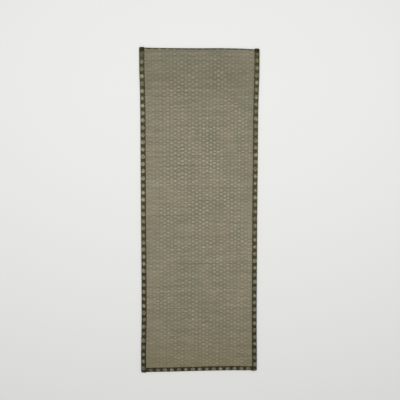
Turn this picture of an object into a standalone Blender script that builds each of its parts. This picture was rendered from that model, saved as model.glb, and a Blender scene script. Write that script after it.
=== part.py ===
"""Woven rush floor mat: one rush panel with a cloth tape folded round each of its four edges.

The mat lies flat, face up. X runs across it, Y along it towards the head end, Z up, and the
origin is on the floor under its middle. Every piece is laid out in a straight rectangle, as it
would be cut, and one warp then draws the edges in as unevenly as those of a mat in use.
"""

import math
from collections import namedtuple

import bmesh
import bpy

# Driving dimensions, in metres
MM = 0.001
MAT_WIDTH = 0.653
MAT_LENGTH = 1.792
PANEL_THICKNESS = 0.0026
TAPE_THICKNESS = 0.0010
GAP = 0.0003
SIDE_FACE = 0.028
BACK_FACE = 0.028
FOOT_FACE = 0.0245
HEAD_FACE = 0.0070
END_SETBACK = 0.0025
FACE_WOBBLE = 0.0004
SIDE_WAVES = (29, 11)
END_WAVES = (31, 13)
CREASE_REACH = 0.016
LONGEST_STEP = 0.125

# What follows from them
HALF_WIDTH = MAT_WIDTH / 2
HALF_LENGTH = MAT_LENGTH / 2
LAYER = TAPE_THICKNESS + GAP
EDGE_CLEARANCE = 0.0015
PANEL_RISE_RUN = 0.025
FACE_RISE_RUN = 0.013
SINGLE_FOLD = (LAYER + PANEL_THICKNESS + GAP) / 2 + TAPE_THICKNESS / 2
CORNER_FOLD = SINGLE_FOLD + LAYER
SIDE_INSET = CORNER_FOLD + GAP
END_INSET = END_SETBACK + SINGLE_FOLD + GAP
SIDE_ZONE = BACK_FACE + EDGE_CLEARANCE
END_ZONE = END_SETBACK + BACK_FACE + EDGE_CLEARANCE
HEAD_ZONE = END_SETBACK + HEAD_FACE + EDGE_CLEARANCE
FOOT_ZONE = END_SETBACK + FOOT_FACE + EDGE_CLEARANCE

# How far each edge is drawn in from the straight rectangle, in millimetres along it
EdgePoint = namedtuple("EdgePoint", "along_mm drawn_in_mm")
LEFT_EDGE = (
    EdgePoint(-896, 3.0), EdgePoint(-780, 2.7), EdgePoint(-640, 5.8), EdgePoint(-400, 7.1),
    EdgePoint(0, 6.2), EdgePoint(250, 5.6), EdgePoint(480, 5.5), EdgePoint(640, 4.4),
    EdgePoint(790, 0.6), EdgePoint(896, 0.6),
)
RIGHT_EDGE = (
    EdgePoint(-896, 0.9), EdgePoint(-800, 1.2), EdgePoint(-640, 3.5), EdgePoint(-320, 5.0),
    EdgePoint(80, 6.0), EdgePoint(240, 5.5), EdgePoint(560, 5.4), EdgePoint(780, 0.9), EdgePoint(896, 1.6),
)
FOOT_EDGE = (
    EdgePoint(-326, 1.7), EdgePoint(-285, 0.2), EdgePoint(-200, 0.2), EdgePoint(-130, 0.6),
    EdgePoint(-40, 2.0), EdgePoint(90, 2.8), EdgePoint(190, 2.9), EdgePoint(250, 1.6),
    EdgePoint(285, 1.2), EdgePoint(326, 1.5),
)
HEAD_EDGE = (
    EdgePoint(-326, 1.3), EdgePoint(-240, 2.2), EdgePoint(-150, 2.5), EdgePoint(0, 1.8),
    EdgePoint(100, 0.2), EdgePoint(180, 0.5), EdgePoint(250, 1.7), EdgePoint(285, 3.2), EdgePoint(326, 2.9),
)

# The soft ridges left where the mat was folded away: place along it, and height
Crease = namedtuple("Crease", "along height")
CREASES = (Crease(-0.285, 0.0009), Crease(0.070, 0.0006), Crease(0.715, 0.0007))

# A tape's section, from the inner edge on the face, round the fold, to the one on the back:
# the share of the leg's reach, and the turn about the fold in degrees
SectionPoint = namedtuple("SectionPoint", "reach_share turn")
FOLD_STEP = 30
TAPE_SECTION = (
    [SectionPoint(share, 90) for share in (1.0, 0.5)]
    + [SectionPoint(0.0, turn) for turn in range(90, -91, -FOLD_STEP)]
    + [SectionPoint(share, -90) for share in (0.5, 1.0)]
)

# Linear colour, roughness
Finish = namedtuple("Finish", "colour roughness")
RUSH = Finish((0.223, 0.205, 0.144, 1.0), 0.75)
TAPE = Finish((0.125, 0.108, 0.066, 1.0), 0.85)


def ease(share):
    """A smooth step from 0 to 1."""
    share = min(max(share, 0.0), 1.0)
    return share * share * (3 - 2 * share)


def drawn_in(edge, along):
    """How far an edge is drawn in at a place along it: a smooth curve through its points."""
    place = along / MM
    last = len(edge) - 1
    row = max(n for n in range(last) if n == 0 or edge[n].along_mm <= place)
    start, end = edge[row], edge[row + 1]
    before, after = edge[max(row - 1, 0)], edge[min(row + 2, last)]
    span = end.along_mm - start.along_mm
    slope_in = (end.drawn_in_mm - before.drawn_in_mm) / (end.along_mm - before.along_mm) * span
    slope_out = (after.drawn_in_mm - start.drawn_in_mm) / (after.along_mm - start.along_mm) * span
    t = min(max((place - start.along_mm) / span, 0.0), 1.0)
    value = (
        (2 * t**3 - 3 * t**2 + 1) * start.drawn_in_mm
        + (t**3 - 2 * t**2 + t) * slope_in
        + (3 * t**2 - 2 * t**3) * end.drawn_in_mm
        + (t**3 - t**2) * slope_out
    )
    return value * MM


def warp(across, along):
    """Move a point of the straight rectangle to where it lies on the uneven mat."""
    left_share = 0.5 - across / MAT_WIDTH
    foot_share = 0.5 - along / MAT_LENGTH
    x = across + drawn_in(LEFT_EDGE, along) * left_share - drawn_in(RIGHT_EDGE, along) * (1 - left_share)
    y = along + drawn_in(FOOT_EDGE, across) * foot_share - drawn_in(HEAD_EDGE, across) * (1 - foot_share)
    return x, y


def crease_lift(along):
    """Height of the old folds over the floor."""
    return sum(
        crease.height * ease(1 - abs(along - crease.along) / CREASE_REACH) for crease in CREASES
    )


def over_side_tape(across):
    """1 where the panel and the end tapes lie over a side tape's back leg, 0 further in."""
    return ease(1 - (HALF_WIDTH - SIDE_ZONE - abs(across)) / PANEL_RISE_RUN)


def over_end_tape(along):
    """1 where the panel lies over an end tape's back leg, 0 further in."""
    return ease(1 - (HALF_LENGTH - END_ZONE - abs(along)) / PANEL_RISE_RUN)


def over_end_face(along):
    """1 where a side tape's face leg lies over an end tape's face leg, 0 further in."""
    zone = HEAD_ZONE if along > 0 else FOOT_ZONE
    return ease(1 - (HALF_LENGTH - zone - abs(along)) / FACE_RISE_RUN)


def panel_underside(across, along):
    """Height of the panel's underside over the floor."""
    return LAYER * (over_side_tape(across) + over_end_tape(along)) + crease_lift(along)


def filled(places, longest):
    """The places in order, with even steps between those further apart than the longest step."""
    places = sorted(places)
    full = [places[0]]
    for place in places[1:]:
        start = full[-1]
        count = max(1, math.ceil((place - start) / longest))
        full += [start + (place - start) * n / count for n in range(1, count + 1)]
    return full


def mirrored(distances, half):
    """Places at these distances in from both ends of a length."""
    return [side * (half - distance) for side in (-1, 1) for distance in distances]


def rise(start, run, steps):
    """The distances at which a rise is bent."""
    return [start + run * n / steps for n in range(steps + 1)]


def across_places():
    """Where the sheets are divided across the mat."""
    return filled(mirrored([SIDE_INSET] + rise(SIDE_ZONE, PANEL_RISE_RUN, 4), HALF_WIDTH), LONGEST_STEP)


def along_places(end_inset):
    """Where the sheets are divided along the mat."""
    places = mirrored(
        [end_inset] + rise(HEAD_ZONE, FACE_RISE_RUN, 2) + rise(FOOT_ZONE, FACE_RISE_RUN, 2)
        + rise(END_ZONE, PANEL_RISE_RUN, 3),
        HALF_LENGTH,
    )
    for crease in CREASES:
        places += [crease.along + CREASE_REACH * n / 2 for n in (-2, -1, 0, 1, 2)]
    return filled(places, LONGEST_STEP)


def finish_material(name, finish):
    """A plain cloth material."""
    material = bpy.data.materials.new(name)
    material.use_nodes = True
    shader = material.node_tree.nodes["Principled BSDF"]
    shader.inputs["Base Color"].default_value = finish.colour
    shader.inputs["Roughness"].default_value = finish.roughness
    shader.inputs["Metallic"].default_value = 0.0
    return material


def add_sheet(name, columns, rows, place, thickness, offset, finish, collection):
    """A grid whose points are put in place one by one, thickened to a closed sheet of cloth."""
    shape = bmesh.new()
    bmesh.ops.create_grid(shape, x_segments=len(columns) - 1, y_segments=len(rows) - 1, size=0.5)
    for vertex in shape.verts:
        column = columns[round((vertex.co.x + 0.5) * (len(columns) - 1))]
        row = rows[round((vertex.co.y + 0.5) * (len(rows) - 1))]
        vertex.co = place(column, row)
    mesh = bpy.data.meshes.new(name)
    shape.to_mesh(mesh)
    shape.free()
    mesh.shade_smooth()
    mesh.materials.append(finish_material(name, finish))
    sheet = bpy.data.objects.new(name, mesh)
    collection.objects.link(sheet)
    solidify = sheet.modifiers.new("Thickness", "SOLIDIFY")
    solidify.thickness = thickness
    solidify.offset = offset
    solidify.use_even_offset = True
    return sheet


def panel_place(across, along):
    """The underside of the rush panel."""
    x, y = warp(across, along)
    return x, y, panel_underside(across, along)


def face_wobble(along, shift, waves):
    """How far a tape's inner edge strays on the face: two crossing waves, in radians a metre."""
    fast, slow = waves
    return FACE_WOBBLE * math.sin(fast * along + shift) * math.cos(slow * along)


def fold_section(point, back, face, face_width, back_width):
    """A point of a folded tape's middle surface: distance in from its outer edge, and height."""
    radius = (face - back) / 2
    centre = radius + TAPE_THICKNESS / 2
    width = face_width if point.turn > 0 else back_width
    turn = math.radians(point.turn)
    inward = centre + point.reach_share * (width - centre) - radius * math.cos(turn)
    return inward, (face + back) / 2 + radius * math.sin(turn)


def side_tape_place(side):
    """The middle surface of the tape on one long edge: side is -1 for the left, 1 for the right."""

    def place(point, along):
        back = crease_lift(along) + TAPE_THICKNESS / 2
        panel = panel_underside(side * HALF_WIDTH, along)
        face = panel + PANEL_THICKNESS + GAP + LAYER * over_end_face(along) + TAPE_THICKNESS / 2
        face_width = SIDE_FACE + face_wobble(along, side, SIDE_WAVES)
        inward, height = fold_section(point, back, face, face_width, BACK_FACE)
        x, y = warp(side * (HALF_WIDTH - inward), along)
        return x, y, height

    return place


def end_tape_place(end, face_width):
    """The middle surface of the tape on one short edge: end is -1 for the foot, 1 for the head."""

    def place(point, across):
        back = LAYER * over_side_tape(across) + TAPE_THICKNESS / 2
        face = back + LAYER + PANEL_THICKNESS + GAP
        uneven_width = face_width + face_wobble(across, end, END_WAVES)
        inward, height = fold_section(point, back, face, uneven_width, BACK_FACE)
        x, y = warp(across, end * (HALF_LENGTH - END_SETBACK - inward))
        return x, y, height

    return place


def add_tapes(collection):
    """The four edge tapes. The side tapes run the full length, over the ends of the other two."""
    side_rows = along_places(end_inset=0.0)
    for name, side in (("tape_left", -1), ("tape_right", 1)):
        add_sheet(
            name, TAPE_SECTION, side_rows, side_tape_place(side), TAPE_THICKNESS, 0.0, TAPE, collection
        )
    for name, end, face_width in (("tape_foot", -1, FOOT_FACE), ("tape_head", 1, HEAD_FACE)):
        add_sheet(
            name, TAPE_SECTION, across_places(), end_tape_place(end, face_width),
            TAPE_THICKNESS, 0.0, TAPE, collection,
        )


def build():
    """Clear the scene and make the mat."""
    for item in list(bpy.data.objects):
        bpy.data.objects.remove(item, do_unlink=True)
    collection = bpy.data.collections.new("rush_mat")
    bpy.context.scene.collection.children.link(collection)
    add_sheet(
        "rush_panel", across_places(), along_places(END_INSET), panel_place,
        PANEL_THICKNESS, 1.0, RUSH, collection,
    )
    add_tapes(collection)


build()
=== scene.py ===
"""The looks of a woven rush mat: its weave, its brocade edge tapes, their seams, and a studio round it."""

import math
from collections import namedtuple

import bmesh
import bpy
import numpy as np
from bpy.props import FloatProperty, FloatVectorProperty, PointerProperty
from mathutils import Matrix, Vector


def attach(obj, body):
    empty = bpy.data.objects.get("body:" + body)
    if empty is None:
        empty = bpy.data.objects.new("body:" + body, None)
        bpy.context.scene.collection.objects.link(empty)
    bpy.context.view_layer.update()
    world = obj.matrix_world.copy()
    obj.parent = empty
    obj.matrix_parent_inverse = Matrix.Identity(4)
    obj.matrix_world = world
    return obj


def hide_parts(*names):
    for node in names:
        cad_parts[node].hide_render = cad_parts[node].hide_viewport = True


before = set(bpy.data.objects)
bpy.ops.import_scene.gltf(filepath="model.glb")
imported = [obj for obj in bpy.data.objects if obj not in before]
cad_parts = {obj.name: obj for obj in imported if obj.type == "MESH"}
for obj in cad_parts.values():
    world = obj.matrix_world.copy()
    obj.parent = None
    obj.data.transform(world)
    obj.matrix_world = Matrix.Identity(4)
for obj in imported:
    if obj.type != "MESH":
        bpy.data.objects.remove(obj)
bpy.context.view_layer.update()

bl_info = {
    "name": "Woven Rush Mat",
    "version": (1, 0, 0),
    "blender": (4, 5, 0),
    "location": "3D View > Sidebar > Rush Mat",
    "description": "Builds a rush mat with a woven relief and brocade edge tapes",
    "category": "Add Mesh",
}

# The mat's layout, in metres, as its solids have it
MM = 0.001
MAT_WIDTH = 0.653
MAT_LENGTH = 1.792
HALF_WIDTH = MAT_WIDTH / 2
HALF_LENGTH = MAT_LENGTH / 2
PANEL_THICKNESS = 0.0026
TAPE_SPACE = 0.0010
GAP = 0.0003
LAYER = TAPE_SPACE + GAP
SIDE_FACE = 0.028
BACK_FACE = 0.028
FOOT_FACE = 0.0245
HEAD_FACE = 0.0070
END_SETBACK = 0.0025
EDGE_CLEARANCE = 0.0015
PANEL_RISE_RUN = 0.025
FACE_RISE_RUN = 0.013
SINGLE_FOLD = (LAYER + PANEL_THICKNESS + GAP) / 2 + TAPE_SPACE / 2
SIDE_INSET = SINGLE_FOLD + LAYER + GAP
END_INSET = END_SETBACK + SINGLE_FOLD + GAP
SIDE_ZONE = BACK_FACE + EDGE_CLEARANCE
END_ZONE = END_SETBACK + BACK_FACE + EDGE_CLEARANCE
HEAD_ZONE = END_SETBACK + HEAD_FACE + EDGE_CLEARANCE
FOOT_ZONE = END_SETBACK + FOOT_FACE + EDGE_CLEARANCE
CREASE_REACH = 0.016
FACE_WOBBLE = 0.0004
SIDE_WAVES = (29, 11)
END_WAVES = (31, 13)

# How far each edge is drawn in from the straight rectangle, in millimetres along it
EdgePoint = namedtuple("EdgePoint", "along_mm drawn_in_mm")
LEFT_EDGE = (
    EdgePoint(-896, 3.0), EdgePoint(-780, 2.7), EdgePoint(-640, 5.8), EdgePoint(-400, 7.1),
    EdgePoint(0, 6.2), EdgePoint(250, 5.6), EdgePoint(480, 5.5), EdgePoint(640, 4.4),
    EdgePoint(790, 0.6), EdgePoint(896, 0.6),
)
RIGHT_EDGE = (
    EdgePoint(-896, 0.9), EdgePoint(-800, 1.2), EdgePoint(-640, 3.5), EdgePoint(-320, 5.0),
    EdgePoint(80, 6.0), EdgePoint(240, 5.5), EdgePoint(560, 5.4), EdgePoint(780, 0.9), EdgePoint(896, 1.6),
)
FOOT_EDGE = (
    EdgePoint(-326, 1.7), EdgePoint(-285, 0.2), EdgePoint(-200, 0.2), EdgePoint(-130, 0.6),
    EdgePoint(-40, 2.0), EdgePoint(90, 2.8), EdgePoint(190, 2.9), EdgePoint(250, 1.6),
    EdgePoint(285, 1.2), EdgePoint(326, 1.5),
)
HEAD_EDGE = (
    EdgePoint(-326, 1.3), EdgePoint(-240, 2.2), EdgePoint(-150, 2.5), EdgePoint(0, 1.8),
    EdgePoint(100, 0.2), EdgePoint(180, 0.5), EdgePoint(250, 1.7), EdgePoint(285, 3.2), EdgePoint(326, 2.9),
)

# How far the weave's rows stray from an even count, and how they bow across the mat
WeaveDrift = namedtuple("WeaveDrift", "along_mm rows")
WEAVE_DRIFT = (
    WeaveDrift(-900, -0.28), WeaveDrift(-800, -0.26), WeaveDrift(-700, -0.11), WeaveDrift(-600, 0.0),
    WeaveDrift(-450, 0.03), WeaveDrift(0, 0.0), WeaveDrift(300, 0.02), WeaveDrift(500, -0.03),
    WeaveDrift(600, -0.07), WeaveDrift(660, -0.03), WeaveDrift(720, 0.12), WeaveDrift(760, 0.36),
    WeaveDrift(820, 0.54), WeaveDrift(900, 0.55),
)
WEAVE_BOW = -1.9
WEAVE_BOW_MIDDLE = 0.015

# The soft ridges left where the mat was folded away: place along it, and height
Crease = namedtuple("Crease", "along height")
CREASES = (Crease(-0.285, 0.0009), Crease(0.070, 0.0006), Crease(0.715, 0.0007))

# Dark rushes and slack lines that run part of the way across, and how much they show: the mat dips along
# them, and their darkening is partly darker rush and partly painted shade in the dips and old folds
DarkRushShade = namedtuple("DarkRushShade", "along start end strength")
DARK_RUSH_SHADES = (
    DarkRushShade(-0.283, -0.300, 0.270, 1.00), DarkRushShade(0.069, 0.000, 0.290, 0.75),
    DarkRushShade(0.030, -0.290, 0.100, 0.50), DarkRushShade(-0.008, -0.100, 0.250, 0.45),
    DarkRushShade(-0.141, -0.290, 0.050, 0.50), DarkRushShade(0.135, -0.050, 0.290, 0.45),
    DarkRushShade(0.817, -0.290, -0.220, 0.80), DarkRushShade(0.748, -0.290, -0.070, 0.70),
    DarkRushShade(0.720, -0.290, -0.100, 0.60), DarkRushShade(0.847, 0.050, 0.280, 0.40),
)

# How the rush, the tape's ground and its flowers change in tone: place from the foot at 0 to the head at 1
ToneStop = namedtuple("ToneStop", "place tone")
RUSH_TONES = (
    ToneStop(0.0, 0.80), ToneStop(0.08, 0.88), ToneStop(0.20, 0.92), ToneStop(0.32, 0.97),
    ToneStop(0.45, 0.98), ToneStop(0.57, 1.01), ToneStop(0.70, 0.98), ToneStop(0.80, 0.94),
    ToneStop(0.85, 0.89), ToneStop(0.91, 0.81), ToneStop(1.0, 0.84),
)
TAPE_TONES = (ToneStop(0.0, 0.55), ToneStop(0.30, 0.75), ToneStop(0.45, 1.10), ToneStop(1.0, 1.15))
MOTIF_TONES = (ToneStop(0.0, 0.72), ToneStop(0.30, 0.86), ToneStop(0.50, 1.0), ToneStop(1.0, 0.92))

# The weave: where its pattern starts, how the weft slants, and how the raised blocks fade at the edges
WEAVE_START_X = 0.0038
WEAVE_START_Y = -0.0074
WEFT_SLANT = 0.0109
BLOCK_REACH_ACROSS = 0.37
BLOCK_REACH_ALONG = 0.31
BLOCK_STRAY = 0.22
BLOCK_SIDE_STRAY = 0.16
TOP_CUTS = 5
STRANDS_A_ROW = 10
WARPS_A_COLUMN = 4
SQUEEZE = 0.035
RELIEF_FADE = 0.004
COLUMN_RIDGE = 0.00012
PANEL_UNEVENNESS = 0.00025
DARK_RUSH_DEPTH = 0.0004
DARK_RUSH_SHADE_REACH = 0.0042
DARK_RUSH_SHADE_FADE = 0.03
UNDER_TAPE = 0.001

# The tapes
TAPE_ROW_STEP = 0.003
LEG_STEPS = 8
FOLD_STEPS = 12
SIDE_MOTIF_CENTRE = 0.0155
FOOT_MOTIF_CENTRE = 0.0125
HEAD_MOTIF_CENTRE = 0.0165
MOTIF_REACH_ACROSS = 0.270
MOTIF_REACH_ALONG = 0.285
MOTIF_RELIEF = 0.00016
THREADS_A_MOTIF = 46
PETALS = 6
PETAL_REACH = 0.138
PETAL_SWELL = 0.048
RING_INSIDE = 0.84
END_ROUNDING = 0.0024
END_CLOSING = 0.83
OUTER_CORNER = 0.0080
RUB_RUN = 0.040
# The run over which painted shade comes in at the side tapes' folded head ends
END_SHADE_RUN = 0.010
INNER_CORNER = 0.0050
STITCH_FROM_EDGE = 0.0026
STITCH_PUFF = 0.00010
SEAM_END_GAP = 0.012

# The camera
CAMERA_PLACE = (-0.1346, 0.2762, 3.0476)
CAMERA_TURN = (-3.868, -2.584, 0.117)
CAMERA_LENS = 50

# The studio
FLOOR_SIZE = 40
FLOOR_LEVEL = -0.0008
AIR_STRENGTH = 0.56
LIGHT_PLACE = (0.0, 0.73, 3.3)
LIGHT_SIZE = (5.0, 1.0)
LIGHT_POWER = 73


def display(red, green, blue):
    """A colour as a screen shows it, from 0 to 255, as the linear one that a shader takes."""
    shares = [value / 255 for value in (red, green, blue)]
    return tuple(s / 12.92 if s <= 0.04045 else ((s + 0.055) / 1.055) ** 2.4 for s in shares)


def length_setting(name, description, default):
    """A length that the sidebar can change."""
    return FloatProperty(name=name, description=description, default=default, unit="LENGTH")


def colour_setting(name, description, red, green, blue):
    """A colour that the sidebar can change, given as a screen shows it."""
    return FloatVectorProperty(
        name=name, description=description, subtype="COLOR", default=display(red, green, blue)
    )


class MatSizes(bpy.types.PropertyGroup):
    """Sizes of the weave, the brocade and the sewing."""

    column_pitch: length_setting("Column pitch", "Width of one column of the weave", 0.01983)
    row_pitch: length_setting("Row pitch", "Length of one raised block and its gap", 0.02174)
    block_height: length_setting("Block height", "How far a raised block stands up", 0.0009)
    tape_thickness: length_setting("Tape thickness", "Thickness of the edge tape's cloth", 0.0009)
    motif_pitch: length_setting("Motif pitch", "Distance from one flower to the next", 0.0393)
    stitch_pitch: length_setting("Stitch pitch", "Distance from one stitch to the next", 0.012)
    stitch_length: length_setting("Stitch length", "Length of a stitch on the face", 0.006)
    thread: length_setting("Thread", "Diameter of the sewing thread", 0.0006)


class MatColours(bpy.types.PropertyGroup):
    """Colours of the rush, the tape, the thread and the floor."""

    rush_straw: colour_setting("Straw rush", "The browner rushes", 142, 133, 111)
    rush_green: colour_setting("Green rush", "The greener rushes", 134, 131, 110)
    # The block crown colour is painted sheen: a paler, greyer tint for light caught on the raised blocks
    rush_crown_sheen: colour_setting("Block crown", "The raised blocks, greyed by painted sheen", 138, 135, 117)
    rush_yellowed: colour_setting("Yellowed rush", "The foot end, yellowed by use", 141, 132, 101)
    tape_olive: colour_setting("Olive ground", "The tape's ground", 58, 56, 33)
    tape_rust: colour_setting("Rust ground", "The ground where it has reddened", 64, 57, 33)
    motif: colour_setting("Motif thread", "The pale thread of the flowers", 206, 199, 172)
    seam: colour_setting("Seam thread", "The sewing thread", 62, 60, 42)
    floor: colour_setting("Floor", "The studio floor", 231, 231, 229)


# ---- Shape of the mat ----


def ease(share):
    """A smooth step from 0 to 1."""
    share = np.clip(share, 0.0, 1.0)
    return share * share * (3 - 2 * share)


def smooth_curve(table, along):
    """A smooth curve through a table of places in millimetres and their values, read at places in metres."""
    places, values = np.array(table, float).T
    slopes = np.empty(len(table))
    slopes[1:-1] = (values[2:] - values[:-2]) / (places[2:] - places[:-2])
    slopes[0] = (values[1] - values[0]) / (places[1] - places[0])
    slopes[-1] = (values[-1] - values[-2]) / (places[-1] - places[-2])
    at = np.asarray(along) / MM
    row = np.clip(np.searchsorted(places, at, side="right") - 1, 0, len(table) - 2)
    span = places[row + 1] - places[row]
    t = np.clip((at - places[row]) / span, 0.0, 1.0)
    return (
        (2 * t**3 - 3 * t**2 + 1) * values[row]
        + (t**3 - 2 * t**2 + t) * slopes[row] * span
        + (3 * t**2 - 2 * t**3) * values[row + 1]
        + (t**3 - t**2) * slopes[row + 1] * span
    )


def drawn_in(edge, along):
    """How far an edge is drawn in at places along it."""
    return smooth_curve(edge, along) * MM


def warp(across, along):
    """Move points of the straight rectangle to where they lie on the uneven mat."""
    left_share = 0.5 - across / MAT_WIDTH
    foot_share = 0.5 - along / MAT_LENGTH
    x = across + drawn_in(LEFT_EDGE, along) * left_share - drawn_in(RIGHT_EDGE, along) * (1 - left_share)
    y = along + drawn_in(FOOT_EDGE, across) * foot_share - drawn_in(HEAD_EDGE, across) * (1 - foot_share)
    return x, y


def crease_lift(along):
    """Height of the old folds over the floor."""
    return sum(crease.height * ease(1 - abs(along - crease.along) / CREASE_REACH) for crease in CREASES)


def over_side_tape(across):
    """1 where the panel and the end tapes lie over a side tape's back leg, 0 further in."""
    return ease(1 - (HALF_WIDTH - SIDE_ZONE - abs(across)) / PANEL_RISE_RUN)


def over_end_tape(along):
    """1 where the panel lies over an end tape's back leg, 0 further in."""
    return ease(1 - (HALF_LENGTH - END_ZONE - abs(along)) / PANEL_RISE_RUN)


def over_end_face(along):
    """1 where a side tape's face leg lies over an end tape's face leg, 0 further in."""
    zone = np.where(along > 0, HEAD_ZONE, FOOT_ZONE)
    return ease(1 - (HALF_LENGTH - zone - abs(along)) / FACE_RISE_RUN)


def panel_underside(across, along):
    """Height of the panel's underside over the floor."""
    return LAYER * (over_side_tape(across) + over_end_tape(along)) + crease_lift(along)


def patches(x, y, size, seed):
    """Soft random patches of about this size, from -1 to 1: a few crossing waves."""
    random = np.random.default_rng(seed)
    waves = 7
    total = 0
    for turn, phase, stretch in random.uniform((0, 0, 0.7), (math.pi, 2 * math.pi, 1.5), (waves, 3)):
        total = total + np.sin((x * math.cos(turn) + y * math.sin(turn)) * math.pi / size * stretch + phase)
    return np.clip(total / math.sqrt(waves), -1, 1)


# ---- Meshes ----


def read_points(mesh):
    """A mesh's points as an array with three columns."""
    points = np.empty(len(mesh.vertices) * 3)
    mesh.vertices.foreach_get("co", points)
    return points.reshape(-1, 3)


def write_points(mesh, points):
    """Put a mesh's points in place."""
    mesh.vertices.foreach_set("co", np.asarray(points, float).ravel())
    mesh.update()


def write_uv(mesh, name, per_point):
    """Give a mesh a UV map from two numbers for each of its points."""
    layer = mesh.uv_layers.new(name=name)
    corners = np.empty(len(mesh.loops), int)
    mesh.loops.foreach_get("vertex_index", corners)
    layer.data.foreach_set("uv", np.asarray(per_point, float)[corners].ravel())


def write_attribute(mesh, name, values):
    """Give a mesh a number for each of its points."""
    mesh.attributes.new(name, "FLOAT", "POINT").data.foreach_set("value", np.asarray(values, float))


def deselect():
    """Nothing selected, so that an operator acts on the new piece alone."""
    if bpy.context.object and bpy.context.object.mode != "OBJECT":
        bpy.ops.object.mode_set(mode="OBJECT")
    bpy.ops.object.select_all(action="DESELECT")


def add_grid(name, columns, rows):
    """A flat grid, one unit each way, under a piece's name."""
    deselect()
    bpy.ops.mesh.primitive_grid_add(x_subdivisions=columns - 1, y_subdivisions=rows - 1, size=1)
    piece = bpy.context.object
    piece.name = name
    piece.data.name = name
    while piece.data.uv_layers:
        piece.data.uv_layers.remove(piece.data.uv_layers[0])
    return piece


def grid_places(piece, columns, rows):
    """The column and row of each of a grid's points."""
    points = read_points(piece.data)
    column = np.rint((points[:, 0] + 0.5) * (columns - 1)).astype(int)
    row = np.rint((points[:, 1] + 0.5) * (rows - 1)).astype(int)
    return column, row


def thicken(piece, thickness, offset):
    """Make an open sheet a closed one."""
    modifier = piece.modifiers.new("Thickness", "SOLIDIFY")
    modifier.thickness = thickness
    modifier.offset = offset
    modifier.use_even_offset = True
    bpy.ops.object.modifier_apply(modifier=modifier.name)


def finish_piece(piece, material, node=None):
    """Shade a piece, and tie it to the mat."""
    piece.data.shade_smooth()
    piece.data.materials.clear()
    piece.data.materials.append(material)
    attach(piece, "root")
    if node:
        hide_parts(node)


# ---- The rush panel ----


def weave_places(across, x, y, sizes):
    """Places in the weave, counted in columns across and rows along."""
    column = (across - WEAVE_START_X) / sizes.column_pitch
    row = (y - WEFT_SLANT * x - WEAVE_START_Y) / sizes.row_pitch
    return column, row - smooth_curve(WEAVE_DRIFT, y) - WEAVE_BOW * (x - WEAVE_BOW_MIDDLE) ** 2


def block_shape(column, row):
    """The raised blocks of rush, staggered from column to column: 1 on a block's crown, 0 beside it."""
    nearest = np.rint(column)
    row = row - 0.5 * (nearest % 2)
    beside = abs((column - nearest) / BLOCK_REACH_ACROSS)
    above = abs((row - np.rint(row)) / BLOCK_REACH_ALONG)
    return np.clip(1 - beside**3 - above**2, 0, 1) ** 0.75


def block_strength(x, y):
    """How clearly the blocks stand out: most in the middle, less along the sides and the ends, and patchy."""
    left = 0.42 + 0.58 * ease((x + 0.285) / 0.12)
    right = 0.60 + 0.40 * ease((0.295 - x) / 0.07)
    head = 0.50 + 0.50 * ease((0.875 - y) / 0.08)
    foot = 0.62 + 0.38 * ease((y + 0.865) / 0.20)
    middle = 1 + 0.40 * np.exp(-(((x - 0.02) / 0.20) ** 2) - ((y - 0.20) / 0.32) ** 2)
    return left * right * head * foot * middle * (0.78 + 0.25 * patches(x, y, 0.11, 3))


def dark_rush_shade_lines(x, y):
    """The dark rushes and slack lines, dipped and darkened, partly with painted shade: 1 on a line, 0 beside
    it.
    """
    total = np.zeros(len(x))
    for line in DARK_RUSH_SHADES:
        beside = 1 - abs(y - WEFT_SLANT * x * 0.5 - line.along) / DARK_RUSH_SHADE_REACH
        ends = ease((x - line.start) / DARK_RUSH_SHADE_FADE) * ease((line.end - x) / DARK_RUSH_SHADE_FADE)
        total += line.strength * np.clip(beside, 0, 1) * ends
    return np.clip(total, 0, 1)


def panel_slab(sizes):
    """A flat slab, fine on its visible top and coarse elsewhere, with its points in the flat layout."""
    inner_x = HALF_WIDTH - SIDE_FACE
    foot_y = HALF_LENGTH - END_SETBACK - FOOT_FACE
    head_y = HALF_LENGTH - END_SETBACK - HEAD_FACE
    rows = round((foot_y + head_y) / sizes.row_pitch) + 1
    reach = math.floor((inner_x - WEAVE_START_X) / sizes.column_pitch - 0.5) + 0.5
    seams = WEAVE_START_X + sizes.column_pitch * np.arange(-reach, reach + 1)
    xs = np.concatenate((
        [SIDE_INSET - HALF_WIDTH, SIDE_INSET * 3 - HALF_WIDTH, -inner_x - UNDER_TAPE],
        seams,
        [inner_x + UNDER_TAPE, HALF_WIDTH - SIDE_INSET * 3, HALF_WIDTH - SIDE_INSET],
    ))
    ys = np.concatenate((
        [END_INSET - HALF_LENGTH, END_INSET * 2 - HALF_LENGTH],
        np.linspace(-foot_y - UNDER_TAPE, head_y + UNDER_TAPE, rows),
        [HALF_LENGTH - END_INSET],
    ))
    piece = add_grid("rush_sheet", len(xs), len(ys))
    column, row = grid_places(piece, len(xs), len(ys))
    write_points(piece.data, np.column_stack((xs[column], ys[row], np.zeros(len(column)))))
    thicken(piece, PANEL_THICKNESS, 1.0)
    bpy.ops.object.mode_set(mode="EDIT")
    shape = bmesh.from_edit_mesh(piece.data)
    for face in shape.faces:
        middle = face.calc_center_median()
        face.select_set(
            middle.z > PANEL_THICKNESS * 0.9 and abs(middle.x) < inner_x and -foot_y < middle.y < head_y
        )
    bmesh.update_edit_mesh(piece.data)
    bpy.ops.mesh.subdivide(number_cuts=TOP_CUTS)
    bpy.ops.object.mode_set(mode="OBJECT")
    return piece


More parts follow.
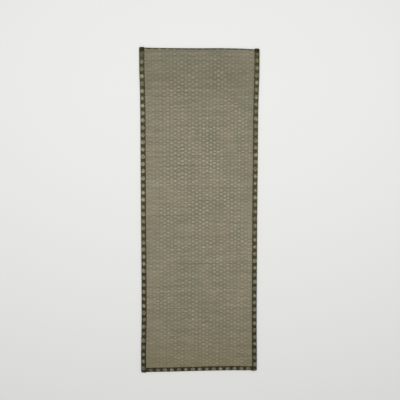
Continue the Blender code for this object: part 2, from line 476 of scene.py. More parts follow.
def build_rush_sheet(context):
    """The rush panel: one woven sheet with its raised blocks, columns, slack lines and old folds."""
    sizes = context.scene.rush_mat_sizes
    piece = panel_slab(sizes)
    across, along, level = read_points(piece.data).T
    x, y = warp(across, along)
    inner = np.minimum(HALF_WIDTH - SIDE_FACE - abs(across), HALF_LENGTH - END_SETBACK - FOOT_FACE + along)
    inner = np.minimum(inner, HALF_LENGTH - END_SETBACK - HEAD_FACE - along)
    open_face = (level > PANEL_THICKNESS / 2) * ease(inner / RELIEF_FADE)
    column, row = weave_places(across, x, y, sizes)
    strength = block_strength(x, y)
    lines = dark_rush_shade_lines(x, y)
    relief = sizes.block_height * (block_shape(column, row) * strength - 0.35)
    relief += COLUMN_RIDGE * np.cos(2 * math.pi * column)
    relief += PANEL_UNEVENNESS * patches(x, y, 0.16, 5) - DARK_RUSH_DEPTH * lines
    z = panel_underside(across, along) + level + relief * open_face
    write_points(piece.data, np.column_stack((x, y, z)))
    write_uv(piece.data, "weave", np.column_stack((column, row)))
    write_attribute(piece.data, "block_strength", strength * open_face)
    write_attribute(piece.data, "dark_rush", lines * open_face)
    finish_piece(piece, rush_material(context), "rush_panel")


# ---- The tapes ----


def tape_section():
    """A tape's section from its inner edge on the face round the fold to the one on the back:
    the share of the leg's reach, and the turn about the fold."""
    legs = np.linspace(1, 0, LEG_STEPS, endpoint=False)
    turns = np.linspace(math.pi / 2, -math.pi / 2, FOLD_STEPS + 1)
    reach = np.concatenate((legs, np.zeros(FOLD_STEPS + 1), legs[::-1]))
    turn = np.concatenate((np.full(LEG_STEPS, math.pi / 2), turns, np.full(LEG_STEPS, -math.pi / 2)))
    return reach, turn


def tape_rows(half, rounded):
    """Places along a tape, closer together where its ends are rounded."""
    count = round(2 * half / TAPE_ROW_STEP)
    rows = np.linspace(-half, half, count + 1)
    if rounded:
        ends = half - OUTER_CORNER * np.array((0.006, 0.03, 0.07, 0.12, 0.19, 0.28, 0.4, 0.6, 0.8, 1.0))
        inside = rows[abs(rows) < ends.min() - TAPE_ROW_STEP / 2]
        rows = np.sort(np.concatenate((inside, ends, -ends, [half, -half])))
    return rows


def face_wobble(along, shift, waves):
    """How unevenly a tape's face leg is wide, from two crossing waves along it."""
    return FACE_WOBBLE * np.sin(waves[0] * along + shift) * np.cos(waves[1] * along)


def motif_relief(beside, along_motifs):
    """The brocade's raised flowers: 1 at the middle of one."""
    from_middle = along_motifs - np.rint(along_motifs)
    return ease(1.5 - 1.5 * np.hypot(beside / MOTIF_REACH_ACROSS, from_middle / MOTIF_REACH_ALONG))


def tape_surface(reach, turn, back, face, face_width, end_round):
    """Middle surface of a folded tape: distance in from its outer edge, height, and distance round it."""
    radius = (face - back) / 2
    centre = radius + TAPE_SPACE / 2
    width = np.where(turn > 0, face_width, BACK_FACE)
    inward = centre + reach * (width - centre) - radius * np.cos(turn)
    middle = (face + back) / 2
    height = middle + radius * np.sin(turn) * end_round
    leg = np.where(turn > 0, 1, -1) * reach * (width - centre)
    return inward, height, leg + radius * turn


def sew_ripple(reach, along, sizes):
    """How the cloth is drawn down at each stitch and puffs up a little between them."""
    near_edge = ease((reach - 0.55) / 0.35)
    return STITCH_PUFF * near_edge * np.cos(2 * math.pi * along / sizes.stitch_pitch)


def build_tape(context, tape, rows, layout):
    """One edge tape: a strip of brocade folded lengthwise round an edge of the rush."""
    sizes = context.scene.rush_mat_sizes
    reach, turn = tape_section()
    piece = add_grid(tape.name, len(reach), len(rows))
    column, row = grid_places(piece, len(reach), len(rows))
    along = rows[row]
    x, y, z, girth = layout(reach[column], turn[column], along)
    motif_x = (SINGLE_FOLD + girth - tape.motif_centre) / sizes.motif_pitch
    motif_y = (along - tape.motif_start) / sizes.motif_pitch
    on_face = turn[column] > math.pi / 4
    z += on_face * (MOTIF_RELIEF * motif_relief(motif_x, motif_y) + sew_ripple(reach[column], along, sizes))
    write_points(piece.data, np.column_stack((x, y, z)))
    write_uv(piece.data, "brocade", np.column_stack((motif_x, motif_y + tape.first_motif)))
    write_attribute(piece.data, "rubbed", np.maximum(ease((along - tape.rubbed_from) / RUB_RUN), tape.wear))
    # Painted shade: 1 at the side tapes' folded head ends, which lie in shade
    write_attribute(piece.data, "soiled", ease((along - tape.soiled_from) / END_SHADE_RUN))
    thicken(piece, sizes.tape_thickness, 0.0)
    finish_piece(piece, brocade_material(context), tape.node)


def rounded_corner(from_end, radius):
    """How far in a rounded corner's edge is, at a distance from the end."""
    short = np.clip(radius - from_end, 0, radius)
    return radius - np.sqrt(radius**2 - short**2)


def side_layout(tape):
    """How a side tape lies."""

    def layout(reach, turn, along):
        back = crease_lift(along) + TAPE_SPACE / 2
        panel = panel_underside(HALF_WIDTH, along)
        face = panel + PANEL_THICKNESS + GAP + LAYER * over_end_face(along) + TAPE_SPACE / 2
        width = tape.face_width + face_wobble(along, tape.side, SIDE_WAVES)
        from_end = HALF_LENGTH - abs(along)
        closed = 1 - END_CLOSING * rounded_corner(from_end, END_ROUNDING) / END_ROUNDING
        inward, height, girth = tape_surface(reach, turn, back, face, width, closed)
        outer = rounded_corner(from_end, OUTER_CORNER)
        inner = rounded_corner(from_end, INNER_CORNER)
        inward = outer + inward * (1 - (outer + inner) / SIDE_FACE)
        x, y = warp(tape.side * (HALF_WIDTH - inward), along)
        return x, y, height, girth

    return layout


def end_layout(tape):
    """How an end tape lies."""

    def layout(reach, turn, across):
        back = LAYER * over_side_tape(across) + TAPE_SPACE / 2
        face = back + LAYER + PANEL_THICKNESS + GAP
        width = tape.face_width + face_wobble(across, tape.side, END_WAVES)
        inward, height, girth = tape_surface(reach, turn, back, face, width, 1.0)
        x, y = warp(across, tape.side * (HALF_LENGTH - END_SETBACK - inward))
        return x, y, height, girth

    return layout


# The tapes: side is -1 at the left or the foot, 1 at the right or the head
Tape = namedtuple(
    "Tape", "name node side face_width motif_centre motif_start first_motif wear rubbed_from soiled_from"
)
# Past the ends of the end tapes, which have no rubbed stretch and no painted shade at their ends
NEVER = HALF_LENGTH
SIDE_TAPES = (
    Tape("edge_tape_left", "tape_left", -1, SIDE_FACE, SIDE_MOTIF_CENTRE, -0.0071, 0, 0.0, 0.805, 0.868),
    Tape("edge_tape_right", "tape_right", 1, SIDE_FACE, SIDE_MOTIF_CENTRE, 0.0058, 100, 0.20, 0.845, 0.868),
)
END_TAPES = (
    Tape("edge_tape_foot", "tape_foot", -1, FOOT_FACE, FOOT_MOTIF_CENTRE, 0.0025, 200, 0.0, NEVER, NEVER),
    Tape("edge_tape_head", "tape_head", 1, HEAD_FACE, HEAD_MOTIF_CENTRE, 0.0180, 300, 0.3, NEVER, NEVER),
)


def build_side_tapes(context):
    """The tapes on the long edges, their ends turned in and closed over the end tapes."""
    rows = tape_rows(HALF_LENGTH, rounded=True)
    for tape in SIDE_TAPES:
        build_tape(context, tape, rows, side_layout(tape))


def build_end_tapes(context):
    """The tapes on the short edges, tucked under the side tapes."""
    length = 2 * (HALF_WIDTH - SIDE_INSET)
    rows = tape_rows(length / 2, rounded=False)
    for tape in END_TAPES:
        build_tape(context, tape, rows, end_layout(tape))


# ---- The seams ----


def model_stitch(sizes):
    """One stitch: a short arched thread along X whose ends go down into the cloth."""
    deselect()
    bpy.ops.mesh.primitive_cylinder_add(
        vertices=6, radius=sizes.thread / 2, depth=sizes.stitch_length, rotation=(0, math.pi / 2, 0)
    )
    stitch = bpy.context.object
    bpy.ops.object.transform_apply(location=True, rotation=True, scale=True)
    bpy.ops.object.mode_set(mode="EDIT")
    for share in (-0.38, -0.2, 0, 0.2, 0.38):
        bpy.ops.mesh.select_all(action="SELECT")
        bpy.ops.mesh.bisect(plane_co=(share * sizes.stitch_length, 0, 0), plane_no=(1, 0, 0))
    bpy.ops.object.mode_set(mode="OBJECT")
    points = read_points(stitch.data)
    along = abs(points[:, 0]) / (sizes.stitch_length / 2)
    slim = np.where(along > 0.99, 0.55, 1.0)
    points[:, 1] *= slim
    points[:, 2] = points[:, 2] * slim - 1.5 * sizes.thread * along**4
    write_points(stitch.data, points)
    return stitch


def seam_line(layout, section_reach, turn, places):
    """Points of a seam on a tape's surface, at places along it."""
    lying = layout(np.full(len(places), section_reach), np.full(len(places), turn), places)
    return np.column_stack(lying[:3])


def build_seams(context):
    """The running stitches that hold each tape to the rush, on the face and on the back."""
    sizes = context.scene.rush_mat_sizes
    stitch = model_stitch(sizes)
    shape = bmesh.new()
    seams = [(side_layout(tape), tape.face_width, HALF_LENGTH - SEAM_END_GAP) for tape in SIDE_TAPES]
    seams += [(end_layout(tape), tape.face_width, HALF_WIDTH - SIDE_FACE) for tape in END_TAPES]
    step = sizes.stitch_pitch
    for layout, face_width, half in seams:
        places = step * (np.arange(math.ceil(-half / step + 0.5), math.floor(half / step - 0.5) + 1))
        for turn, width, lift in ((math.pi / 2, face_width, 0.4), (-math.pi / 2, BACK_FACE, -0.4)):
            share = 1 - STITCH_FROM_EDGE / (width - SINGLE_FOLD)
            rise = lift * sizes.tape_thickness
            starts = seam_line(layout, share, turn, places - sizes.stitch_length / 2)
            stops = seam_line(layout, share, turn, places + sizes.stitch_length / 2)
            for start, stop in zip(starts, stops):
                place_stitch(shape, stitch.data, Vector(start), Vector(stop), rise)
    bpy.data.objects.remove(stitch)
    mesh = bpy.data.meshes.new("seam_stitches")
    shape.to_mesh(mesh)
    shape.free()
    piece = bpy.data.objects.new("seam_stitches", mesh)
    context.scene.collection.objects.link(piece)
    finish_piece(piece, thread_material(context))


def place_stitch(shape, stitch, start, stop, rise):
    """Copy the stitch between two points, arched up or down."""
    along = (stop - start).normalized()
    up = Vector((0, 0, math.copysign(1, rise)))
    sideways = up.cross(along).normalized()
    upright = along.cross(sideways)
    turn = Matrix((along, sideways, upright)).transposed().to_4x4()
    copy = stitch.copy()
    copy.transform(Matrix.Translation((start + stop) / 2 + Vector((0, 0, rise))) @ turn)
    shape.from_mesh(copy)
    bpy.data.meshes.remove(copy)


# ---- Shader nodes ----


class Graph:
    """Short ways to add nodes to a shader or a group and join them."""

    def __init__(self, tree):
        self.tree = tree

    def add(self, kind, inputs=(), **settings):
        """Add a node; inputs are pairs of a socket's name or number and a value or another socket."""
        node = self.tree.nodes.new(kind)
        for name, value in settings.items():
            setattr(node, name, value)
        for socket, value in inputs:
            self.put(node.inputs[socket], value)
        return node

    def put(self, socket, value):
        """Join a socket to another, or give it a value."""
        if isinstance(value, bpy.types.NodeSocket):
            self.tree.links.new(value, socket)
        else:
            socket.default_value = value

    def math(self, operation, first, second=0.0, third=0.0):
        """One step of arithmetic."""
        inputs = ((0, first), (1, second), (2, third))
        return self.add("ShaderNodeMath", inputs, operation=operation).outputs[0]

    def times(self, first, second):
        return self.math("MULTIPLY", first, second)

    def plus(self, first, second):
        return self.math("ADD", first, second)

    def line(self, value, slope, start):
        """A value times a slope, plus a start."""
        return self.plus(self.times(value, slope), start)

    def remap(self, value, low, high, to_low=0.0, to_high=1.0):
        """Stretch a range of values to another, smoothly and clamped."""
        inputs = (
            ("Value", value), ("From Min", low), ("From Max", high), ("To Min", to_low), ("To Max", to_high),
        )
        return self.add("ShaderNodeMapRange", inputs, interpolation_type="SMOOTHSTEP").outputs[0]

    def stretch(self, vector, scale):
        """A vector with each of its parts scaled."""
        return self.add("ShaderNodeMapping", (("Vector", vector), ("Scale", scale))).outputs[0]

    def noise(self, vector, scale, detail=2.0, roughness=0.5):
        """Soft noise about 0.5."""
        inputs = (("Vector", vector), ("Scale", scale), ("Detail", detail), ("Roughness", roughness))
        return self.add("ShaderNodeTexNoise", inputs).outputs[0]

    def mix(self, share, first, second):
        """A mix of two colours."""
        inputs = ((0, share), (6, first), (7, second))
        return self.add("ShaderNodeMix", inputs, data_type="RGBA").outputs[2]

    def shade(self, colour, strength):
        """A colour made lighter or darker."""
        inputs = ((0, colour), ("Scale", strength))
        return self.add("ShaderNodeVectorMath", inputs, operation="SCALE").outputs[0]

    def parts(self, vector):
        """The three parts of a vector."""
        return self.add("ShaderNodeSeparateXYZ", ((0, vector),)).outputs

    def group(self, tree, inputs):
        """Place a node group."""
        node = self.tree.nodes.new("ShaderNodeGroup")
        node.node_tree = tree
        for socket, value in inputs:
            self.put(node.inputs[socket], value)
        return node.outputs


def new_group(name, inputs, outputs):
    """An empty shader group with named sockets: its graph, its input sockets and its output node."""
    tree = bpy.data.node_groups.new(name, "ShaderNodeTree")
    for label, kind in inputs:
        tree.interface.new_socket(label, in_out="INPUT", socket_type=kind)
    for label, kind in outputs:
        tree.interface.new_socket(label, in_out="OUTPUT", socket_type=kind)
    graph = Graph(tree)
    return graph, graph.add("NodeGroupInput").outputs, graph.add("NodeGroupOutput")


def woven_rush_group():
    """Rushes that run across, tied down by fine warps, and float over them in staggered blocks. Height and
    Gap follow the rushes, Block is 1 on a block, Blade is random for each rush and Luck for each block.
    Tuck is 1 where a block's ends dive under, and weaker along the seams between columns, and marks where the
    rush material paints shade."""
    graph, given, result = new_group(
        "woven rush",
        (("Vector", "NodeSocketVector"),),
        tuple((label, "NodeSocketFloat") for label in ("Height", "Gap", "Block", "Tuck", "Blade", "Luck")),
    )
    x, y = graph.parts(given["Vector"])[:2]
    nearest = graph.math("ROUND", x)
    row = graph.plus(y, graph.times(graph.math("PINGPONG", nearest, 1.0), -0.5))
    level = graph.math("ROUND", row)
    cell = graph.add("ShaderNodeCombineXYZ", ((0, nearest), (1, level))).outputs[0]
    random = graph.add("ShaderNodeTexWhiteNoise", (("Vector", cell),)).outputs["Color"]
    luck, stray, length = graph.parts(random)
    # Each block strays along and across; the second stray is drawn from the first one's later digits
    side_stray = graph.times(graph.plus(graph.math("FRACT", graph.times(stray, 7.0)), -0.5), BLOCK_SIDE_STRAY)
    stray = graph.times(graph.plus(stray, -0.5), BLOCK_STRAY)
    beside = graph.plus(graph.math("SUBTRACT", x, nearest), side_stray)
    beside = graph.times(beside, 1 / BLOCK_REACH_ACROSS)
    beside = graph.times(beside, graph.line(length, -0.3, 1.15))
    above = graph.times(graph.plus(graph.math("SUBTRACT", row, level), stray), 1 / BLOCK_REACH_ALONG)
    out = graph.plus(graph.math("POWER", graph.math("ABSOLUTE", beside), 3.0), graph.times(above, above))
    block = graph.remap(out, 1.2, 0.3)

    wander = graph.noise(graph.stretch(given["Vector"], (0.5, 1.5, 1.0)), 1.0)
    wander = graph.times(graph.plus(wander, -0.5), 0.08)
    wave = graph.times(
        graph.math("COSINE", graph.times(x, math.pi)), graph.math("SINE", graph.times(y, 2 * math.pi))
    )
    spread = graph.plus(graph.plus(y, wander), graph.times(wave, -SQUEEZE))
    strand = graph.times(spread, STRANDS_A_ROW)
    blade = graph.math("FLOOR", strand)
    crown = graph.math("POWER", graph.math("ABSOLUTE", graph.math("SINE", graph.times(strand, math.pi))), 0.6)
    thread = graph.times(x, WARPS_A_COLUMN)
    from_thread = graph.math("ABSOLUTE", graph.plus(graph.math("FRACT", thread), -0.5))
    over = graph.math("PINGPONG", graph.plus(blade, graph.math("FLOOR", thread)), 1.0)
    tied = graph.times(graph.remap(from_thread, 0.20, 0.06), graph.times(over, graph.remap(block, 0.6, 0.1)))
    height = graph.times(crown, graph.line(tied, -0.55, 1.0))
    drawn = graph.add("ShaderNodeTexWhiteNoise", (("W", blade),), noise_dimensions="1D")

    gap = graph.math("MAXIMUM", graph.remap(crown, 0.62, 0.2), graph.times(tied, 0.7))
    graph.put(result.inputs["Height"], height)
    graph.put(result.inputs["Gap"], gap)
    graph.put(result.inputs["Block"], block)
    # Where painted shade goes: round a block's ends, and more weakly along the seams between columns
    rim = graph.times(graph.remap(out, 0.9, 1.3), graph.remap(out, 2.3, 1.5))
    end = graph.remap(graph.math("ABSOLUTE", above), 0.35, 0.85, 0.25, 1.0)
    from_column = graph.math("ABSOLUTE", graph.math("SUBTRACT", x, nearest))
    column_seam_shade = graph.remap(from_column, 0.34, 0.49, 0.0, 0.38)
    graph.put(result.inputs["Tuck"], graph.math("MAXIMUM", graph.times(rim, end), column_seam_shade))
    graph.put(result.inputs["Blade"], drawn.outputs["Value"])
    graph.put(result.inputs["Luck"], luck)
    return graph.tree


def cloth_group():
    """Fine threads that cross: Height is 1 on a thread's crown, and Gap is 1 in the hollows between."""
    name = "cloth threads"
    if name in bpy.data.node_groups:
        return bpy.data.node_groups[name]
    graph, given, result = new_group(
        name,
        (("Vector", "NodeSocketVector"), ("Threads", "NodeSocketFloat")),
        (("Height", "NodeSocketFloat"), ("Gap", "NodeSocketFloat")),
    )
    x, y = graph.parts(given["Vector"])[:2]
    across = graph.math("SINE", graph.times(graph.times(x, given["Threads"]), math.pi))
    along = graph.math("SINE", graph.times(graph.times(y, given["Threads"]), math.pi))
    height = graph.math("POWER", graph.math("ABSOLUTE", graph.times(across, along)), 0.5)
    graph.put(result.inputs["Height"], height)
    graph.put(result.inputs["Gap"], graph.remap(height, 0.55, 0.15))
    return graph.tree


def mottle_group():
    """Soft uneven tone, as of age and use: Shade is about 1, and Stain is 1 in a few places."""
    name = "mottling"
    if name in bpy.data.node_groups:
        return bpy.data.node_groups[name]
    graph, given, result = new_group(
        name,
        (("Vector", "NodeSocketVector"), ("Scale", "NodeSocketFloat"), ("Amount", "NodeSocketFloat")),
        (("Shade", "NodeSocketFloat"), ("Stain", "NodeSocketFloat")),
    )
    broad = graph.noise(given["Vector"], given["Scale"], 3.0, 0.6)
    spread = graph.times(graph.plus(broad, -0.5), given["Amount"])
    graph.put(result.inputs["Shade"], graph.plus(spread, 1.0))
    other = graph.noise(graph.stretch(given["Vector"], (1.3, 0.8, 1.0)), graph.times(given["Scale"], 0.7))
    graph.put(result.inputs["Stain"], graph.remap(other, 0.42, 0.62))
    return graph.tree


def start_material(name, roughness, shine=0.3):
    """A new material, its graph and its main shader."""
    material = bpy.data.materials.new(name)
    material.use_nodes = True
    shader = material.node_tree.nodes["Principled BSDF"]
    shader.inputs["Roughness"].default_value = roughness
    shader.inputs["Specular IOR Level"].default_value = shine
    return material, Graph(material.node_tree), shader


def solid(colour):
    """A colour with its alpha."""
    return (*colour, 1.0)


def streaks(graph, weave, scale, darkest, palest):
    """Uneven tone in streaks, stretched to this scale across and along the weave."""
    return graph.remap(graph.noise(graph.stretch(weave, scale), 1.0, 1.0), 0.3, 0.7, darkest, palest)


def rush_material(context):
    """Faded rush: strands of mixed tone, raised blocks paled by painted sheen, painted shade in the hollows,
    round the blocks' ends and along the dark rush lines, slowly changing along the mat.
    """
    colours = context.scene.rush_mat_colours
    material, graph, shader = start_material("rush", 0.62, 0.22)
    weave = graph.add("ShaderNodeUVMap", uv_map="weave").outputs[0]
    place = graph.add("ShaderNodeTexCoord").outputs["Object"]
    strength = graph.add("ShaderNodeAttribute", attribute_name="block_strength").outputs["Fac"]
    line = graph.add("ShaderNodeAttribute", attribute_name="dark_rush").outputs["Fac"]
    woven = graph.group(woven_rush_group(), (("Vector", weave),))
    mottle = graph.group(mottle_group(), (("Vector", place), ("Scale", 5.0), ("Amount", 0.21)))
    block = graph.times(woven["Block"], strength)

    straw_share = graph.remap(graph.noise(graph.stretch(place, (1.0, 0.6, 1.0)), 9.0, 3.0), 0.38, 0.62)
    share = graph.plus(graph.times(straw_share, 0.55), graph.times(woven["Blade"], 0.45))
    colour = graph.mix(share, solid(colours.rush_green), solid(colours.rush_straw))
    # Painted sheen: the raised blocks are tinted paler and greyer, as where light catches them
    colour = graph.mix(graph.times(block, 0.5), colour, solid(colours.rush_crown_sheen))
    y = graph.parts(place)[1]
    colour = graph.mix(graph.remap(y, -0.60, -0.84, 0.0, 0.5), colour, solid(colours.rush_yellowed))

    blade = graph.line(woven["Blade"], 0.16, 0.92)
    fine = streaks(graph, weave, (0.30, 9.0, 1.0), 0.885, 1.11)
    broad = streaks(graph, weave, (0.12, 1.6, 1.0), 0.92, 1.08)
    columns = streaks(graph, weave, (1.1, 0.07, 1.0), 0.975, 1.03)
    tone = graph.times(graph.times(graph.times(fine, blade), broad), graph.times(columns, mottle["Shade"]))
    # Painted sheen: each raised block is made lighter, by a random amount for each block
    lift = graph.line(woven["Luck"], 0.80, 0.36)
    raised = graph.plus(graph.times(block, graph.times(lift, 0.30)), 1.012)
    # Painted shade: darker in the gaps between the strands and the warps
    hollow = graph.line(woven["Gap"], -0.30, 1.0)
    # Painted shade: darker where the blocks' ends dive under, and along the seams between columns
    tuck_shade = graph.plus(graph.times(graph.times(woven["Tuck"], strength), -0.32), 1.0)
    # Partly painted shade: darker along the dipped dark rush lines and old folds, as well as the darker
    # rushes themselves
    dark = graph.line(line, -0.22, 1.0)
    tone = graph.times(graph.times(tone, raised), graph.times(graph.times(hollow, tuck_shade), dark))
    tone = graph.times(tone, along_tone(graph, y, RUSH_TONES))
    graph.put(shader.inputs["Base Color"], graph.shade(colour, tone))
    graph.put(shader.inputs["Roughness"], graph.line(woven["Gap"], 0.2, 0.56))
    bump = graph.add("ShaderNodeBump", (("Strength", 0.7), ("Distance", 0.0006), ("Height", woven["Height"])))
    graph.put(shader.inputs["Normal"], bump.outputs[0])
    return material


def along_tone(graph, y, stops):
    """A tone that changes along the mat, from the foot at 0 to the head at 1."""
    inputs = (("Value", y), ("From Min", -HALF_LENGTH), ("From Max", HALF_LENGTH))
    place = graph.add("ShaderNodeMapRange", inputs).outputs[0]
    ramp = graph.add("ShaderNodeValToRGB", ((0, place),))
    brightest = max(stop.tone for stop in stops)
    elements = ramp.color_ramp.elements
    elements[1].position = stops[-1].place
    for stop in stops[1:-1]:
        elements.new(stop.place)
    for element, stop in zip(elements, stops):
        element.color = (*[stop.tone / brightest] * 3, 1.0)
    return graph.times(ramp.outputs[0], brightest)


def oval(graph, across, along, reach_across, reach_along):
    """1 inside an oval of these half sizes, with a soft edge."""
    x = graph.times(across, 1 / reach_across)
    y = graph.times(along, 1 / reach_along)
    return graph.remap(graph.plus(graph.times(x, x), graph.times(y, y)), 1.15, 0.85)


def flower_mask(graph, beside, along, ring_wear):
    """A plain woven flower: a pale ring on a faint oval, and in it a rosette of petals round a
    dark-ringed eye.
    Ring wear, from 0 to 1, is a random one for each flower: where its ring has gone its petals are whole."""
    body = oval(graph, beside, along, MOTIF_REACH_ACROSS, MOTIF_REACH_ALONG)
    hollow = oval(graph, beside, along, MOTIF_REACH_ACROSS * RING_INSIDE, MOTIF_REACH_ALONG * RING_INSIDE)
    ring = graph.math("SUBTRACT", body, hollow)
    squared = graph.plus(graph.times(beside, beside), graph.times(along, along))
    from_middle = graph.math("SQRT", squared)
    lobes = graph.math("COSINE", graph.times(graph.math("ARCTAN2", along, beside), PETALS))
    past_edge = graph.math("SUBTRACT", from_middle, graph.plus(graph.times(lobes, PETAL_SWELL), PETAL_REACH))
    rosette = graph.remap(past_edge, 0.014, -0.014)
    eye = graph.times(graph.remap(from_middle, 0.055, 0.035), graph.remap(from_middle, 0.012, 0.026))
    rosette = graph.times(rosette, graph.line(eye, -0.7, 1.0))
    shapes = (
        graph.times(body, 0.34),
        graph.times(ring, graph.line(ring_wear, -0.6, 0.95)),
        graph.times(rosette, graph.line(ring_wear, 0.5, 0.5)),
    )
    return graph.math("MAXIMUM", graph.math("MAXIMUM", shapes[0], shapes[1]), shapes[2])


def brocade_material(context):
    """Dark brocade tape with a row of pale flowers, rubbed and uneven."""
    if "brocade" in bpy.data.materials:
        return bpy.data.materials["brocade"]
    colours = context.scene.rush_mat_colours
    material, graph, shader = start_material("brocade", 0.8, 0.10)
    cloth = graph.add("ShaderNodeUVMap", uv_map="brocade").outputs[0]
    place = graph.add("ShaderNodeTexCoord").outputs["Object"]
    rubbed = graph.add("ShaderNodeAttribute", attribute_name="rubbed").outputs["Fac"]
    soiled = graph.add("ShaderNodeAttribute", attribute_name="soiled").outputs["Fac"]
    threads = graph.group(cloth_group(), (("Vector", cloth), ("Threads", THREADS_A_MOTIF)))
    mottle = graph.group(mottle_group(), (("Vector", place), ("Scale", 26.0), ("Amount", 1.3)))

    steps = (1 / THREADS_A_MOTIF,) * 3
    stepped = graph.add("ShaderNodeVectorMath", ((0, cloth), (1, steps)), operation="SNAP").outputs[0]
    beside, along = graph.parts(stepped)[:2]
    number = graph.math("ROUND", along)
    random = graph.add("ShaderNodeTexWhiteNoise", (("W", number),), noise_dimensions="1D").outputs["Color"]
    luck, ring_wear = graph.parts(random)[:2]
    flower = flower_mask(graph, beside, graph.math("SUBTRACT", along, number), ring_wear)
    worn = graph.remap(graph.noise(cloth, 3.2, 3.0, 0.65), 0.34, 0.62, 0.35, 1.0)
    worn = graph.times(worn, graph.line(luck, 0.5, 0.68))
    flower = graph.times(graph.times(flower, worn), graph.line(rubbed, -0.75, 1.0))
    flecks = graph.remap(graph.noise(stepped, 9.0, 2.0, 0.7), 0.52, 0.68)
    flecks = graph.times(flecks, graph.line(rubbed, 0.30, 0.22))

    ground = graph.mix(mottle["Stain"], solid(colours.tape_olive), solid(colours.tape_rust))
    y = graph.parts(place)[1]
    tone = graph.times(mottle["Shade"], along_tone(graph, y, TAPE_TONES))
    ground = graph.shade(ground, tone)
    pale = graph.shade(tuple(colours.motif), along_tone(graph, y, MOTIF_TONES))
    colour = graph.mix(graph.math("MAXIMUM", flower, flecks), ground, pale)
    # Painted shade: darker at the side tapes' folded head ends
    end_darkening = graph.line(soiled, -0.65, 1.0)
    # Painted shade: darker in the gaps between the threads
    colour = graph.shade(colour, graph.times(graph.line(threads["Gap"], -0.3, 1.0), end_darkening))
    graph.put(shader.inputs["Base Color"], colour)
    height = graph.plus(graph.times(threads["Height"], 0.5), graph.times(flower, 0.5))
    bump = graph.add("ShaderNodeBump", (("Strength", 0.7), ("Distance", 0.0003), ("Height", height)))
    graph.put(shader.inputs["Normal"], bump.outputs[0])
    return material


def thread_material(context):
    """Dull twisted sewing thread."""
    colours = context.scene.rush_mat_colours
    material, graph, shader = start_material("seam thread", 0.7)
    place = graph.add("ShaderNodeTexCoord").outputs["Object"]
    mottle = graph.group(mottle_group(), (("Vector", place), ("Scale", 60.0), ("Amount", 0.5)))
    graph.put(shader.inputs["Base Color"], graph.shade(tuple(colours.seam), mottle["Shade"]))
    return material


def floor_material(context):
    """Pale matt studio floor."""
    colours = context.scene.rush_mat_colours
    material, shader = start_material("studio floor", 0.9)[::2]
    shader.inputs["Base Color"].default_value = solid(colours.floor)
    return material


# ---- The studio ----


def add_softbox(name, place, size, power):
    """A large soft light that faces straight down."""
    light = bpy.data.lights.new(name, "AREA")
    light.shape = "RECTANGLE"
    light.size, light.size_y = size
    light.energy = power
    box = bpy.data.objects.new(name, light)
    box.location = place
    box.visible_camera = False
    bpy.context.scene.collection.objects.link(box)


def build_stage(context):
    """A pale floor, soft studio light and the camera."""
    scene = context.scene
    deselect()
    bpy.ops.mesh.primitive_plane_add(size=FLOOR_SIZE, location=(0, 0, FLOOR_LEVEL))
    floor = bpy.context.object
    floor.name = "studio_floor"
    bpy.ops.object.transform_apply(location=True, rotation=True, scale=True)
    floor.data.materials.append(floor_material(context))

    world = bpy.data.worlds.new("studio air")
    world.use_nodes = True
    world.node_tree.nodes["Background"].inputs["Color"].default_value = (1.0, 1.0, 0.99, 1.0)
    world.node_tree.nodes["Background"].inputs["Strength"].default_value = AIR_STRENGTH
    scene.world = world
    add_softbox("overhead_light", LIGHT_PLACE, LIGHT_SIZE, LIGHT_POWER)

    lens = bpy.data.cameras.new("camera")
    lens.lens = CAMERA_LENS
    lens.sensor_width = 36
    camera = bpy.data.objects.new("camera", lens)
    camera.location = CAMERA_PLACE
    camera.rotation_euler = [math.radians(angle) for angle in CAMERA_TURN]
    scene.collection.objects.link(camera)
    scene.camera = camera
    scene.view_settings.view_transform = "Standard"


# ---- Operators, panel and registration ----


class RUSHMAT_OT_rush_sheet(bpy.types.Operator):
    """Weave the rush panel"""

    bl_idname = "rushmat.rush_sheet"
    bl_label = "Rush Sheet"

    def execute(self, context):
        build_rush_sheet(context)
        return {"FINISHED"}


class RUSHMAT_OT_side_tapes(bpy.types.Operator):
    """Fold the tapes round the long edges"""

    bl_idname = "rushmat.side_tapes"
    bl_label = "Side Tapes"

    def execute(self, context):
        build_side_tapes(context)
        return {"FINISHED"}


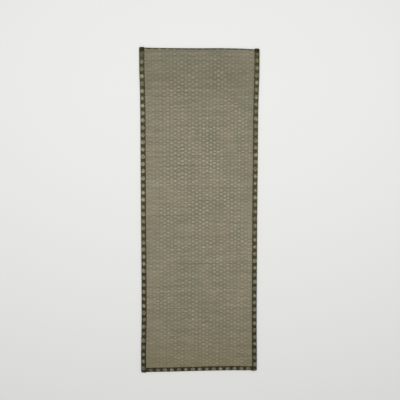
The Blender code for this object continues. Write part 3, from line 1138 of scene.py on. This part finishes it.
class RUSHMAT_OT_end_tapes(bpy.types.Operator):
    """Fold the tapes round the short edges"""

    bl_idname = "rushmat.end_tapes"
    bl_label = "End Tapes"

    def execute(self, context):
        build_end_tapes(context)
        return {"FINISHED"}


class RUSHMAT_OT_seams(bpy.types.Operator):
    """Sew the tapes to the rush"""

    bl_idname = "rushmat.seams"
    bl_label = "Seams"

    def execute(self, context):
        build_seams(context)
        return {"FINISHED"}


class RUSHMAT_OT_stage(bpy.types.Operator):
    """Set up the floor, the lights and the camera"""

    bl_idname = "rushmat.stage"
    bl_label = "Studio"

    def execute(self, context):
        build_stage(context)
        return {"FINISHED"}


OPERATORS = (
    RUSHMAT_OT_rush_sheet,
    RUSHMAT_OT_side_tapes,
    RUSHMAT_OT_end_tapes,
    RUSHMAT_OT_seams,
    RUSHMAT_OT_stage,
)


class RUSHMAT_PT_panel(bpy.types.Panel):
    """The mat's pieces in the sidebar."""

    bl_idname = "RUSHMAT_PT_panel"
    bl_label = "Rush Mat"
    bl_space_type = "VIEW_3D"
    bl_region_type = "UI"
    bl_category = "Rush Mat"

    def draw(self, context):
        layout = self.layout
        for group in (context.scene.rush_mat_sizes, context.scene.rush_mat_colours):
            for name in group.__annotations__:
                layout.prop(group, name)
        for operator in OPERATORS:
            layout.operator(operator.bl_idname)


CLASSES = (MatSizes, MatColours, *OPERATORS, RUSHMAT_PT_panel)


def register():
    for item in CLASSES:
        bpy.utils.register_class(item)
    bpy.types.Scene.rush_mat_sizes = PointerProperty(type=MatSizes)
    bpy.types.Scene.rush_mat_colours = PointerProperty(type=MatColours)


def unregister():
    del bpy.types.Scene.rush_mat_colours
    del bpy.types.Scene.rush_mat_sizes
    for item in reversed(CLASSES):
        bpy.utils.unregister_class(item)


def main():
    """Build the pieces and the studio."""
    register()
    bpy.ops.rushmat.rush_sheet()
    bpy.ops.rushmat.side_tapes()
    bpy.ops.rushmat.end_tapes()
    bpy.ops.rushmat.seams()
    bpy.ops.rushmat.stage()


if __name__ == "__main__":
    main()
